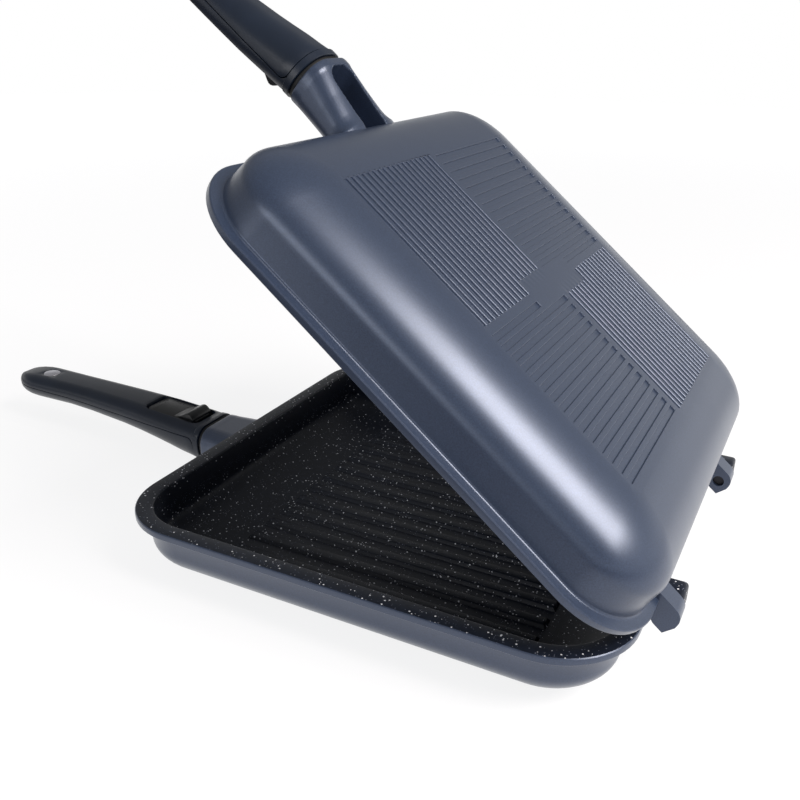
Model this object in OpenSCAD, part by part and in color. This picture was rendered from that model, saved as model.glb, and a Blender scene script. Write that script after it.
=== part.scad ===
// Double sided flip pan: two square cast pans that close rim to rim on a
// lift-off hinge, each with a handle that unclips from its neck.
// +X runs from the handles to the hinge, +Y along the hinge axis, +Z up.
// The origin is the centre of the lower pan's base. Sizes are millimetres.

/* [Pan] */
// Outer size of each square rim
pan_size = 270; // [250:1:300]
// Height of each pan from its base to its rim
pan_depth = 36.5; // [34:0.5:40]
// Radius of the rim's corners
rim_corner_r = 40; // [32:1:46]
// Thickness of the rim
rim_thick = 4; // [3:0.5:5]
// How far the rim stands out past the wall
rim_overhang = 6; // [4:0.5:7]
// Thickness of the cast wall
wall_thick = 3.5; // [3:0.25:4.5]
// Thickness of the cast floor
floor_thick = 4.5; // [3.5:0.25:6]
// How far the wall leans in between the rim and the rounded edge
wall_draft = 1.5; // [1:0.25:2]
// Width of the rounded edge between wall and base
edge_w = 38.5; // [30:0.5:42]
// Height of the rounded edge between wall and base
edge_h = 20; // [16:0.5:24]

/* [Cooking ridges] */
// Number of grill ridges in the lower pan
ridge_count = 12; // [6:1:14]
// Distance from one ridge to the next
ridge_pitch = 15.8; // [11:0.1:16]
// Width of a ridge at its foot
ridge_w = 8.5; // [5:0.5:10]
// Width of a ridge along its flat top
ridge_top_w = 5.5; // [2:0.5:8]
// Height of a ridge over the floor
ridge_h = 2; // [1:0.25:3.5]
// Length of a ridge
ridge_len = 188; // [140:1:196]

/* [Base pattern] */
// Half the size of the grooved square on each base
panel_half = 89.5; // [70:0.5:91]
// How far the grooved square sits towards the handle
panel_shift = 1.8; // [0:0.1:3]
// Number of narrow grooves in each finely grooved quarter
fine_count = 18; // [8:1:20]
// Number of grooves in each coarsely grooved quarter
coarse_count = 15; // [6:1:16]
// Width of a narrow groove
fine_w = 2.2; // [0.8:0.1:2.6]
// Width of a coarse groove
coarse_w = 3.2; // [1:0.1:3.6]
// Depth of a groove
groove_deep = 0.8; // [0.4:0.1:1.2]
// Bare border between two quarters
quarter_gap = 4; // [3:0.5:8]
// Length of the bare plate in the middle, along the hinge
plate_len = 60; // [40:1:80]
// Width of the bare plate in the middle
plate_w = 17.5; // [10:0.5:30]

/* [Opening and hinge] */
// Angle between the two pans, 0 when closed
open_angle = 39; // [5:1:95]
// Gap between the two rims when closed
rim_gap = 0.6; // [0.5:0.1:1.2]
// Distance from the rim's edge out to the hinge axis
hinge_out = 7.4; // [7.3:0.1:9]
// Width of each hinge lug along the axis
lug_w = 11.8; // [9:0.1:14]
// Gap between two neighbouring lugs
lug_gap = 0.4; // [0.3:0.1:0.8]
// Distance from the middle to the outer end of each hinge
hinge_reach = 84; // [60:1:94]
// Radius of the hinge pins
pin_r = 3; // [2:0.1:3.5]
// Radial running clearance of the pins
pin_clear = 0.06; // [0.02:0.01:0.1]
// Metal left at the blind end of a pin's bore
pin_floor = 1.6; // [1:0.1:2.5]
// Clearance between a lug and the other pan's rim as it turns
swing_clear = 0.35; // [0.3:0.05:0.6]

/* [Rim seal] */
// Distance from the rim's edge to the seal
seal_inset = 3; // [2:0.25:4]
// Width of the seal
seal_w = 2.6; // [2:0.1:3]
// Depth of the seal's groove
seal_deep = 2; // [1:0.1:2.5]
// Clearance round the seal in its groove
seal_clear = 0.1; // [0.05:0.05:0.2]

/* [Neck] */
// Length of the cast neck outside the rim
neck_len = 28.6; // [24:0.2:40]
// Width of the neck
neck_w = 38; // [34:0.5:40]
// Depth of the neck's inner face under the closing plane
neck_in = 8; // [7:0.25:10]
// Depth of the neck's outer face under the closing plane, at the neck's end
neck_out = 33.5; // [32:0.25:34]
// How much shallower the neck is at the pan's wall
neck_slope = 7; // [4:0.5:8]
// Width of the pocket in the neck's outer face
pocket_w = 22; // [18:0.5:24]
// Radius of the pocket's corners
pocket_r = 7; // [5:0.5:8]
// Thickness of the web between the pocket and the neck's inner face
neck_web = 4.5; // [3:0.25:5.5]
// Thickness of the neck's end wall
neck_wall = 4; // [3:0.25:5]

/* [Handle] */
// Length of the handle from its gap ring to its tip
handle_len = 171.6; // [150:0.2:200]
// Width of the handle next to the gap ring
handle_w = 38; // [36:0.5:42]
// Depth of the handle's inner face at the tip
tip_in = 1.8; // [1:0.1:3]
// Depth of the handle's outer face at the tip
tip_out = 19; // [17:0.5:22]
// Thickness of the soft gap ring between neck and handle
ring_thick = 2.3; // [1.5:0.1:4]
// Play between the gap ring and the neck's end
end_play = 0.4; // [0.3:0.05:0.8]
// Wall left round the handle's mechanism
shell_wall = 2.6; // [2:0.1:3]

/* [Lock] */
// Width of the steel tongue
tongue_w = 16; // [12:0.5:17]
// Thickness of the steel tongue
tongue_t = 2.5; // [1.5:0.1:3]
// How far the tongue reaches into the neck
tongue_reach = 13.6; // [9:0.2:18]
// Depth of the tongue's inner face under the closing plane
tongue_deep = 14.5; // [14:0.25:15.5]
// Width of the spring steel latch
latch_w = 10; // [7:0.5:11]
// Thickness of the spring steel latch
latch_t = 0.8; // [0.5:0.1:1]
// How far the latch hooks past the edge of the neck's window
latch_bite = 2; // [1:0.1:2.5]
// Clearance round the tongue in the neck's window
tongue_clear = 0.4; // [0.3:0.05:0.8]

/* [Thumb slider] */
// Length of the slider's plate
slider_len = 36; // [32:0.5:40]
// Width of the slider's plate
slider_w = 22.4; // [20:0.2:24]
// Thickness of the slider's plate
slider_t = 2; // [1.5:0.1:2.4]
// Travel of the slider towards the neck
slider_travel = 4; // [2:0.25:5]
// Depth of the slider's plate under the closing plane
slider_deep = 7; // [6.8:0.1:8]
// Length of the thumb hump
hump_len = 14; // [10:0.5:18]
// Width of the thumb hump
hump_w = 19; // [14:0.5:20]
// Depth of the hump's crest under the closing plane
hump_deep = 3.4; // [2.4:0.1:4.4]
// Radius of the plate's corners
slider_r = 5; // [2:0.5:8]
// Clearance round the slider in its recess
slider_clear = 0.3; // [0.2:0.05:0.5]
// Mean radius of the slider's return spring
spring_r = 1.6; // [1.2:0.05:1.7]
// Radius of the return spring's wire
spring_wire_r = 0.3; // [0.2:0.02:0.35]
// Number of turns of the return spring
spring_turns = 7; // [4:1:9]

/* [Magnet and screws] */
// Radius of the closing magnet
magnet_r = 5.7; // [4:0.1:7]
// Thickness of the closing magnet
magnet_t = 3; // [2:0.1:4]
// Distance from the handle's tip to the magnet
magnet_from_tip = 27; // [20:0.5:40]
// Radius of the screws' shanks
screw_r = 1.5; // [1.2:0.1:1.8]
// Radius of the screws' heads
screw_head_r = 3; // [2.4:0.1:3.4]
// Height of the screws' heads
screw_head_h = 2; // [1.4:0.1:2.2]
// Length of the screws' shanks
screw_len = 9; // [6:0.5:9]
// Radial clearance round a screw
screw_clear = 0.1; // [0.05:0.05:0.2]

/* [Hidden] */
$fn = 64;
eps = 0.01;

// Pan
half = pan_size / 2;
mid_z = pan_depth + rim_gap / 2;
wall_foot_in = rim_overhang + wall_draft;
flat_in = wall_foot_in + edge_w;
edge_steps = 10;

// Hinge
hinge_x = half + hinge_out;
lug_step = 0.65;
lug_r = hinge_out - swing_clear - lug_step;
lug_corner_r = 2;
lug_half = (hinge_out - swing_clear - lug_corner_r) / sqrt(2) + lug_corner_r;
lug_pitch = lug_w + lug_gap;
upper_lug_ys = [-hinge_reach, hinge_reach - lug_w - lug_pitch];
arm_bite = 10;
arm_root = rim_overhang + arm_bite;
arm_deep = lug_r + 1.1;
stop_corner = 5;

// Neck and lock
neck_end = half + neck_len;
pocket_in = neck_in + neck_web;
window_h = tongue_clear + tongue_t + 1.6 * latch_t + latch_bite + 1.6;
window_z = -tongue_deep + tongue_clear - window_h / 2;
ring_in = neck_in - 0.5;
ring_out = neck_out + 1;
shell_x0 = end_play + ring_thick + 0.1;

// Handle outline: share of the length, share of the width, and shares of the
// way from the tip's depths to the neck's depths, inner face then outer face
HANDLE_OUTLINE = [
    [0.000, 1.05, 0.93, 1.07],
    [0.018, 1.05, 0.93, 1.07],
    [0.028, 1.00, 1.00, 1.00],
    [0.108, 0.97, 0.74, 0.83],
    [0.225, 0.92, 0.42, 0.55],
    [0.400, 0.83, 0.18, 0.24],
    [0.575, 0.78, 0.04, 0.07],
    [0.745, 0.75, 0.00, 0.00],
    [0.880, 0.75, 0.00, 0.00],
    [0.960, 0.61, 0.56, 0.05],
    [1.000, 0.36, 1.44, 0.00]
];

// The section of neck and handle: a flat inner face with crisp edges, and a round back
inner_power = 4;
back_power = 1.9;
widest_at = 0.36;
section_points = 32;

// Thumb slider, measured from the neck's end
recess_x0 = shell_x0 + 0.035 * handle_len;
slider_x0 = recess_x0 + slider_travel + slider_clear;
slider_x1 = slider_x0 + slider_len;
recess_x1 = slider_x1 + slider_travel;
plate_floor = slider_deep + slider_t;
leg_x0 = slider_x0 + 0.44 * slider_len;
leg_len = 4;
leg_t = 1.6;
leg_y = tongue_w / 2 + 0.6;
push_x0 = slider_x0 + 0.64 * slider_len;
push_t = 2;
latch_fall = 2.4;
yoke_z = -tongue_deep - tongue_t - latch_t - slider_clear / 2;
yoke_t = 1.6;
cavity_half_w = leg_y + leg_t + 1.2;
cavity_x0 = recess_x0 + 2;
tab_x0 = slider_x0 + 3.2;
tab_t = 1.5;
tongue_x1 = recess_x1 - 0.5;
screw_x = tongue_x1 - 5;
spring_z = -(plate_floor + tongue_deep) / 2;
magnet_x = shell_x0 + handle_len - magnet_from_tip;
magnet_z = -tip_in;
boss_r = 4;
past_face = 20;

// ---------- helpers ----------

function signed_power(v, e) = sign(v) * pow(abs(v), e);

// Points of a rounded section: half width, inner and outer depth
function section(hw, d_in, d_out, n = section_points) = [
    for (k = [0:n - 1])
        let (a = 360 * k / n,
             power = a < 180 ? inner_power : back_power,
             rise = (d_out - d_in) * (a < 180 ? widest_at : 1 - widest_at))
        [hw * signed_power(cos(a), 2 / power),
         -d_in - widest_at * (d_out - d_in) + rise * signed_power(sin(a), 2 / power)]
];

// Outline of a pan's wall as [inset from the rim's edge, height]
function wall_profile(foot_in, w, h, z0, top_in, top_z) = concat(
    [for (k = [0:edge_steps]) [foot_in + w * (1 - sin(90 * k / edge_steps)),
                               z0 + h * (1 - cos(90 * k / edge_steps))]],
    [[top_in, top_z]]
);

// A square tray whose four sides and corners follow one wall outline
module tray(profile) {
    straight = half - flat_in;
    side = [for (p = profile) [half - p[0], p[1]]];
    last = len(side) - 1;
    outline = concat(side, [for (k = [0:last]) [-side[last - k][0], side[last - k][1]]]);
    rotate([90, 0, 90]) linear_extrude(2 * straight, center = true) polygon(outline);
    rotate([90, 0, 0]) linear_extrude(2 * straight, center = true) polygon(outline);
    for (sx = [-1, 1], sy = [-1, 1])
        translate([sx * straight, sy * straight, 0])
            rotate_extrude()
                polygon(concat([for (p = profile) [flat_in - p[0], p[1]]], [[0, profile[last][1]]]));
}

// A square plate with round corners, lying inside the rim's edge by inset
module rounded_plate(inset, z0, z1) {
    s = pan_size - 2 * inset;
    r = rim_corner_r - inset;
    translate([0, 0, z0]) {
        for (sx = [-1, 1], sy = [-1, 1])
            translate([sx * (s / 2 - r), sy * (s / 2 - r), 0]) cylinder(r = r, h = z1 - z0);
        translate([-s / 2, -s / 2 + r, 0]) cube([s, s - 2 * r, z1 - z0]);
        translate([-s / 2 + r, -s / 2, 0]) cube([s - 2 * r, s, z1 - z0]);
    }
}

// A flat rectangle from x0 to x1 with round corners
module rounded_slot(x0, x1, w, r) {
    translate([x0 + r, -w / 2]) square([x1 - x0 - 2 * r, w]);
    translate([x0, -w / 2 + r]) square([x1 - x0, w - 2 * r]);
    for (x = [x0 + r, x1 - r], s = [-1, 1])
        translate([x, s * (w / 2 - r)]) circle(r);
}

// Box from one corner to the opposite one
module box(from, to) {
    translate(from) cube(to - from);
}

// A flat shape in X and Z, pushed along Y from y0 by w, round the hinge axis
module on_hinge(y0, w) {
    translate([hinge_x, y0 + w, mid_z]) rotate([90, 0, 0]) linear_extrude(w) children();
}

// A round bar on the hinge axis
module hinge_bar(y0, y1, r) {
    translate([hinge_x, y1, mid_z]) rotate([90, 0, 0]) cylinder(r = r, h = y1 - y0);
}

// The upper half mirrors the lower half about the closing plane, then swings open
module upper() {
    translate([hinge_x, 0, mid_z]) rotate([0, open_angle, 0]) translate([-hinge_x, 0, -mid_z])
        translate([0, 0, 2 * mid_z]) mirror([0, 0, 1]) children();
}

// The handle's own frame: +X from the neck's end to the tip, z = 0 on the closing plane
module on_neck() {
    translate([-neck_end, 0, mid_z]) rotate([0, 0, 180]) children();
}

// ---------- pans, drawn as the lower one ----------

module base_grooves() {
    inner = quarter_gap / 2;
    fine_pitch = (panel_half - inner) / fine_count;
    coarse_pitch = (panel_half - inner) / coarse_count;
    translate([-panel_shift, 0, 0])
        for (s = [-1, 1]) {
            for (k = [0:fine_count - 1]) {
                y = s * (panel_half - fine_pitch * (k + 0.5));
                x_in = abs(y) < plate_len / 2 + fine_w ? plate_w / 2 + fine_w : inner;
                translate([s * (panel_half + x_in) / 2, y, 0])
                    cube([panel_half - x_in, fine_w, 2 * groove_deep], center = true);
            }
            for (k = [0:coarse_count - 1]) {
                x = s * (inner + coarse_pitch * (k + 0.5));
                y_in = abs(x) < plate_w / 2 + coarse_w ? plate_len / 2 + coarse_w : inner;
                translate([x, -s * (panel_half + y_in) / 2, 0])
                    cube([coarse_w, panel_half - y_in, 2 * groove_deep], center = true);
            }
        }
}

// Hollow neck with a window in its end wall for the tongue and the latch
module neck() {
    long = neck_len + flat_in / 2 + wall_thick;
    rise = neck_slope * long / (neck_len + wall_foot_in);
    slope_clear = 0.2;
    difference() {
        translate([-neck_end, 0, mid_z]) rotate([90, 0, 90])
            linear_extrude(long) polygon(section(neck_w / 2, neck_in, neck_out));
        translate([-neck_end, 0, mid_z - neck_out - slope_clear]) rotate([90, 0, 0])
            linear_extrude(2 * neck_w, center = true)
                polygon([[0, 0], [long, rise], [long, -1], [0, -1]]);
        translate([-neck_end + neck_wall, 0, mid_z - neck_out - 1])
            linear_extrude(neck_out + 1 - pocket_in)
                rounded_slot(0, neck_len + flat_in, pocket_w, pocket_r);
        translate([-neck_end - 1, -tongue_w / 2 - tongue_clear, mid_z + window_z - window_h / 2])
            cube([neck_wall + pocket_r, tongue_w + 2 * tongue_clear, window_h]);
    }
}

module ridges() {
    side = (ridge_w - ridge_top_w) / 2;
    for (k = [0:ridge_count - 1])
        translate([-ridge_len / 2, (k - (ridge_count - 1) / 2) * ridge_pitch, floor_thick - eps])
            rotate([90, 0, 90])
                linear_extrude(ridge_len)
                    polygon([[-ridge_w / 2, 0], [ridge_w / 2, 0],
                             [ridge_w / 2 - side, ridge_h], [-ridge_w / 2 + side, ridge_h]]);
}

// Lug of the lower pan: a block with rounded corners that the other rim clears
module lower_lug(y0) {
    a = lug_half - lug_corner_r;
    for (sx = [-1, 1], sz = [-1, 1])
        translate([hinge_x + sx * a, y0 + lug_w, mid_z + sz * a])
            rotate([90, 0, 0]) cylinder(r = lug_corner_r, h = lug_w);
    on_hinge(y0, lug_w)
        polygon([[-lug_half, -a], [-a, -lug_half], [a, -lug_half], [lug_half, -a],
                 [lug_half, a], [a, lug_half], [-a, lug_half], [-lug_half, a]]);
    on_hinge(y0, lug_w)
        polygon([[-hinge_out - arm_root, -rim_gap], [-hinge_out - arm_root, -3 * rim_thick - 2],
                 [-hinge_out, -2 * rim_thick - 3], [a, -lug_half], [0, -rim_gap]]);
}

// Lug of the upper pan, with the square corner that stops it when wide open
module upper_lug(y0) {
    hinge_bar(y0, y0 + lug_w, lug_r);
    on_hinge(y0, lug_w)
        polygon([[0, 0], [lug_r - eps, 0], [stop_corner, lug_r - eps], [0, lug_r - eps]]);
    on_hinge(y0, lug_w)
        polygon([[-hinge_out - arm_root, -rim_gap], [-hinge_out - arm_root, -arm_deep],
                 [0, -arm_deep], [lug_r - 2, -lug_r + 1], [lug_r - eps, -2],
                 [lug_r - eps, 0], [-lug_r, -rim_gap]]);
}

module cast_pan(outer_top) {
    difference() {
        union() {
            tray(wall_profile(wall_foot_in, edge_w, edge_h, 0, rim_overhang, outer_top));
            rounded_plate(0, pan_depth - rim_thick, pan_depth);
            neck();
            children();
        }
        tray(wall_profile(wall_foot_in + wall_thick, edge_w - wall_thick, edge_h - floor_thick,
                          floor_thick, rim_overhang + wall_thick, pan_depth + 1));
        base_grooves();
    }
}

module bottom_pan() {
    color([0.36, 0.39, 0.47]) difference() {
        union() {
            cast_pan(pan_depth - eps)
                for (y = upper_lug_ys) lower_lug(y + lug_pitch);
            ridges();
        }
        for (y = upper_lug_ys)
            hinge_bar(y + lug_pitch - eps, y + lug_pitch + lug_w - pin_floor, pin_r + pin_clear);
    }
}

module top_pan() {
    color([0.36, 0.39, 0.47]) upper() difference() {
        cast_pan(pan_depth - eps)
            for (y = upper_lug_ys) upper_lug(y);
        difference() {
            rounded_plate(seal_inset, pan_depth - seal_deep, pan_depth + 1);
            rounded_plate(seal_inset + seal_w + 2 * seal_clear, pan_depth - seal_deep - 1, pan_depth + 2);
        }
        hinge_bar(upper_lug_ys[0] + pin_floor, upper_lug_ys[0] + lug_w + eps, pin_r + pin_clear);
        hinge_bar(upper_lug_ys[1] - eps, upper_lug_ys[1] + lug_w + eps, pin_r + pin_clear);
    }
}

// Two loose pins: one in a bore that is blind at both ends, one that shows in an open bore
module hinge_pins() {
    color([0.62, 0.63, 0.65])
        for (y = upper_lug_ys)
            hinge_bar(y + pin_floor + 0.4, y + lug_pitch + lug_w - pin_floor - 0.4, pin_r);
}

module rim_seal() {
    color([0.12, 0.12, 0.13]) upper() difference() {
        rounded_plate(seal_inset + seal_clear, pan_depth - seal_deep, pan_depth + rim_gap - 0.2);
        rounded_plate(seal_inset + seal_clear + seal_w, pan_depth - seal_deep - 1, pan_depth + 1);
    }
}

// ---------- handle, drawn in its own frame ----------

// Whole handle as one closed skin through its outline's sections
module handle_form() {
    n = section_points;
    rings = [for (o = HANDLE_OUTLINE)
        [for (p = section(o[1] * handle_w / 2, tip_in + (ring_in - tip_in) * o[2],
                          tip_out + (ring_out - tip_out) * o[3]))
            [shell_x0 + o[0] * handle_len, p[0], p[1]]]];
    last = len(rings) - 1;
    points = [for (r = rings) for (p = r) p];
    skin = [for (k = [0:last - 1]) for (j = [0:n - 1])
        let (a = k * n + j, b = k * n + (j + 1) % n)
        each [[a, b, a + n], [b, b + n, a + n]]];
    first_cap = [for (j = [1:n - 2]) [0, j + 1, j]];
    last_cap = [for (j = [1:n - 2]) [last * n, last * n + j, last * n + j + 1]];
    polyhedron(points = points, faces = concat(skin, first_cap, last_cap));
}

// Everything past the seam between shell and cover: side 1 is the cover's side, -1 the shell's
module past_seam(side, gap) {
    seam_ring = tongue_deep + 1.5;
    seam_tip = tip_in + 0.4 * (tip_out - tip_in);
    x1 = shell_x0 + handle_len + 1;
    far = side * 2 * ring_out;
    rotate([90, 0, 0])
        linear_extrude(2 * handle_w, center = true)
            polygon([[0, side * gap - seam_ring], [x1, side * gap - seam_tip], [x1, far], [0, far]]);
}

// Room for tongue, latch, spring and the slider's legs
module mechanism_room() {
    w = cavity_half_w;
    deep = tongue_deep + tongue_t + latch_t + boss_r / 2;
    difference() {
        union() {
            box([cavity_x0, -w + 0.6, -tongue_deep], [recess_x1, w - 0.6, -plate_floor - slider_clear + eps]);
            box([cavity_x0, -w, -deep], [recess_x1 + 1, w, -tongue_deep + eps]);
            box([cavity_x0, -w, yoke_z - yoke_t - 1.2], [leg_x0 + leg_len + slider_clear, w, -deep + eps]);
            translate([0, 0, -plate_floor - slider_clear])
                linear_extrude(plate_floor + 2)
                    rounded_slot(recess_x0, recess_x1, slider_w + 2 * slider_clear, slider_r);
        }
        translate([screw_x, 0, -deep - 1])
            cylinder(r = boss_r, h = deep + 1 - tongue_deep - tongue_t - latch_t);
    }
    box([-1, -tongue_w / 2 - tongue_clear, window_z - window_h / 2],
        [cavity_x0 + 1, tongue_w / 2 + tongue_clear, window_z + window_h / 2]);
}

module screw_hole(x, head_z, through) {
    translate([x, 0, head_z - screw_len - 1])
        cylinder(r = screw_r + (through ? screw_clear : 0.02), h = screw_len + 2);
}

module handle_shell() {
    difference() {
        handle_form();
        past_seam(1, -0.05);
        mechanism_room();
        box([recess_x1 + 4, -0.16 * handle_w, -tip_out + shell_wall],
            [magnet_x - 8, 0.16 * handle_w, 0]);
        screw_hole(screw_x, -tongue_deep, false);
        screw_hole(magnet_x, magnet_z - magnet_t - screw_head_h, false);
    }
}

module handle_cover() {
    difference() {
        handle_form();
        past_seam(-1, 0);
        mechanism_room();
        translate([magnet_x, 0, magnet_z - magnet_t - 0.05]) cylinder(r = magnet_r + screw_clear, h = past_face);
        translate([magnet_x, 0, magnet_z - magnet_t - screw_head_h - 0.1])
            cylinder(r = screw_head_r + screw_clear, h = past_face);
        screw_hole(magnet_x, magnet_z - magnet_t - screw_head_h, true);
    }
}

module gap_ring() {
    difference() {
        translate([end_play, 0, 0]) rotate([90, 0, 90])
            linear_extrude(ring_thick) polygon(section(neck_w / 2 - 0.4, neck_in + 0.4, neck_out - 0.4));
        mechanism_room();
    }
}

module tongue() {
    difference() {
        union() {
            box([-tongue_reach, -tongue_w / 2, -tongue_deep - tongue_t],
                [tongue_x1, tongue_w / 2, -tongue_deep]);
            box([tab_x0, -3, -tongue_deep - eps], [tab_x0 + tab_t, 3, -plate_floor - 2 * slider_clear]);
        }
        translate([screw_x, 0, -tongue_deep - tongue_t - 1])
            cylinder(r = screw_r + screw_clear, h = tongue_t + 2);
    }
}

// Leaf spring clamped under the tongue, with a ramp for the yoke and a hooked nose in the neck
module latch() {
    top = -tongue_deep - tongue_t;
    hook_x = -neck_wall - end_play;
    bend_x = leg_x0 - slider_clear;
    low_x = bend_x - slider_travel - slider_clear;
    nose = window_z - window_h / 2 - latch_bite;
    difference() {
        translate([0, latch_w / 2, 0]) rotate([90, 0, 0])
            linear_extrude(latch_w)
                polygon([[tongue_x1, top - eps], [bend_x, top - eps], [low_x, top - latch_fall],
                         [hook_x - latch_t, top - latch_fall], [hook_x - latch_t, nose],
                         [hook_x, nose], [hook_x, top - latch_fall - latch_t],
                         [low_x, top - latch_fall - latch_t], [bend_x, top - latch_t],
                         [tongue_x1, top - latch_t]]);
        translate([screw_x, 0, top - latch_t - 1]) cylinder(r = screw_r + screw_clear, h = latch_t + 2);
    }
}

// Plate with a thumb hump, a finger that squeezes the spring, and a yoke under the latch
module thumb_slider() {
    top = -slider_deep;
    foot = -plate_floor;
    translate([0, 0, foot])
        linear_extrude(slider_t) rounded_slot(slider_x0, slider_x1, slider_w, slider_r - slider_clear);
    translate([0, hump_w / 2, 0]) rotate([90, 0, 0])
        linear_extrude(hump_w)
            polygon([[slider_x0, top - eps], [slider_x0 + 1, top + 0.35 * (slider_deep - hump_deep)],
                     [slider_x0 + 0.5 * hump_len, -hump_deep - 0.4], [slider_x0 + 0.65 * hump_len, -hump_deep],
                     [slider_x0 + 0.85 * hump_len, -hump_deep - 0.3],
                     [slider_x0 + hump_len - 1, top + 0.4 * (slider_deep - hump_deep)],
                     [slider_x0 + hump_len, top - eps]]);
    box([push_x0, -2.6, -tongue_deep + slider_clear], [push_x0 + push_t, 2.6, foot + eps]);
    for (s = [-1, 1])
        scale([1, s, 1]) box([leg_x0, leg_y, yoke_z - yoke_t], [leg_x0 + leg_len, leg_y + leg_t, foot + eps]);
    box([leg_x0, -leg_y - leg_t, yoke_z - yoke_t], [leg_x0 + leg_len, leg_y + leg_t, yoke_z]);
}

// One unbroken wire wound round a line along X
module return_spring() {
    sides = 6;
    per_turn = 10;
    x0 = tab_x0 + tab_t + spring_wire_r + 0.05;
    x1 = push_x0 - spring_wire_r - 0.05;
    count = spring_turns * per_turn;
    rings = [for (k = [0:count])
        let (a = 360 * k / per_turn, x = x0 + (x1 - x0) * k / count)
        [for (j = [0:sides - 1])
            let (b = 360 * j / sides, r = spring_r + spring_wire_r * cos(b))
            [x + spring_wire_r * sin(b), r * cos(a), spring_z + r * sin(a)]]];
    points = [for (r = rings) for (p = r) p];
    coil = [for (k = [0:count - 1]) for (j = [0:sides - 1])
        let (a = k * sides + j, b = k * sides + (j + 1) % sides)
        each [[a, a + sides, b], [b, a + sides, b + sides]]];
    first_cap = [for (j = [1:sides - 2]) [0, j, j + 1]];
    last_cap = [for (j = [1:sides - 2]) [count * sides, count * sides + j + 1, count * sides + j]];
    echo(spring_least_gap = (x1 - x0) / spring_turns - 2 * spring_wire_r, points = len(points));
    polyhedron(points = points, faces = concat(coil, first_cap, last_cap));
}

module magnet() {
    translate([magnet_x, 0, magnet_z - magnet_t]) cylinder(r = magnet_r, h = magnet_t);
}

// One screw clamps tongue and latch to the shell, one holds the cover under the magnet
module screws() {
    for (s = [[screw_x, -tongue_deep], [magnet_x, magnet_z - magnet_t - screw_head_h - 0.05]])
        translate([s[0], 0, s[1]]) {
            cylinder(r = screw_head_r, h = screw_head_h);
            translate([0, 0, -screw_len]) cylinder(r = screw_r, h = screw_len + eps);
        }
}

module lower_handle_shell() { color([0.18, 0.19, 0.21]) on_neck() handle_shell(); }
module lower_handle_cover() { color([0.2, 0.21, 0.24]) on_neck() handle_cover(); }
module lower_gap_ring() { color([0.05, 0.05, 0.06]) on_neck() gap_ring(); }
module lower_tongue() { color([0.45, 0.46, 0.48]) on_neck() tongue(); }
module lower_latch() { color([0.55, 0.56, 0.6]) on_neck() latch(); }
module lower_thumb_slider() { color([0.12, 0.13, 0.15]) on_neck() thumb_slider(); }
module lower_return_spring() { color([0.7, 0.7, 0.72]) on_neck() return_spring(); }
module lower_magnet() { color([0.77, 0.77, 0.82]) on_neck() magnet(); }
module lower_screws() { color([0.7, 0.7, 0.72]) on_neck() screws(); }

module upper_handle_shell() { color([0.18, 0.19, 0.21]) upper() on_neck() handle_shell(); }
module upper_handle_cover() { color([0.2, 0.21, 0.24]) upper() on_neck() handle_cover(); }
module upper_gap_ring() { color([0.05, 0.05, 0.06]) upper() on_neck() gap_ring(); }
module upper_tongue() { color([0.45, 0.46, 0.48]) upper() on_neck() tongue(); }
module upper_latch() { color([0.55, 0.56, 0.6]) upper() on_neck() latch(); }
module upper_thumb_slider() { color([0.12, 0.13, 0.15]) upper() on_neck() thumb_slider(); }
module upper_return_spring() { color([0.7, 0.7, 0.72]) upper() on_neck() return_spring(); }
module upper_magnet() { color([0.77, 0.77, 0.82]) upper() on_neck() magnet(); }
module upper_screws() { color([0.7, 0.7, 0.72]) upper() on_neck() screws(); }

bottom_pan();
top_pan();
hinge_pins();
rim_seal();
lower_handle_shell();
lower_handle_cover();
lower_gap_ring();
lower_tongue();
lower_latch();
lower_thumb_slider();
lower_return_spring();
lower_magnet();
lower_screws();
upper_handle_shell();
upper_handle_cover();
upper_gap_ring();
upper_tongue();
upper_latch();
upper_thumb_slider();
upper_return_spring();
upper_magnet();
upper_screws();
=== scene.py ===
# %% [markdown]
# # A double sided flip pan
# Two square cast pans close rim to rim on a lift-off hinge, and each has a plastic handle that
# unclips from its neck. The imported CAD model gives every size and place. This script models the
# visible pieces again with Blender's own tools, gives each one the finish of the real material,
# and lights the pan as a product photographer would.

import math

import bmesh
import bpy
from mathutils import Matrix, Vector


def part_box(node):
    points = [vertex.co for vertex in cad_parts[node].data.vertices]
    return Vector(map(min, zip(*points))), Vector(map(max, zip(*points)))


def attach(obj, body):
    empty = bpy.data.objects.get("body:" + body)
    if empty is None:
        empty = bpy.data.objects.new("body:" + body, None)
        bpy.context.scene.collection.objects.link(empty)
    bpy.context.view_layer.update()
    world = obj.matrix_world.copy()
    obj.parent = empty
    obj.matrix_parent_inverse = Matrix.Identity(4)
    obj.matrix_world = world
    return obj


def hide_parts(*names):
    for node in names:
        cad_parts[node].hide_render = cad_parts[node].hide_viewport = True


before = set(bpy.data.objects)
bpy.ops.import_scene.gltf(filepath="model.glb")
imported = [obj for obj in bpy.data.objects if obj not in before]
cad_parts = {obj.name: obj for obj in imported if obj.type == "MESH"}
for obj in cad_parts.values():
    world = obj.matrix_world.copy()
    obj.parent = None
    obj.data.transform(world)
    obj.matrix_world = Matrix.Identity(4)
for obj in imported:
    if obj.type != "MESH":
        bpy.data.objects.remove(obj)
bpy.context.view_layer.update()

# %% [markdown]
# ## Sizes
# Blender works in metres, and a pan is easier to read in millimetres, so every size is written in
# millimetres and multiplied by MM once. The pan's size comes from the CAD model's box. The rest
# repeats the values that the CAD source was driven by.

# %% Driving sizes
MM = 0.001

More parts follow.
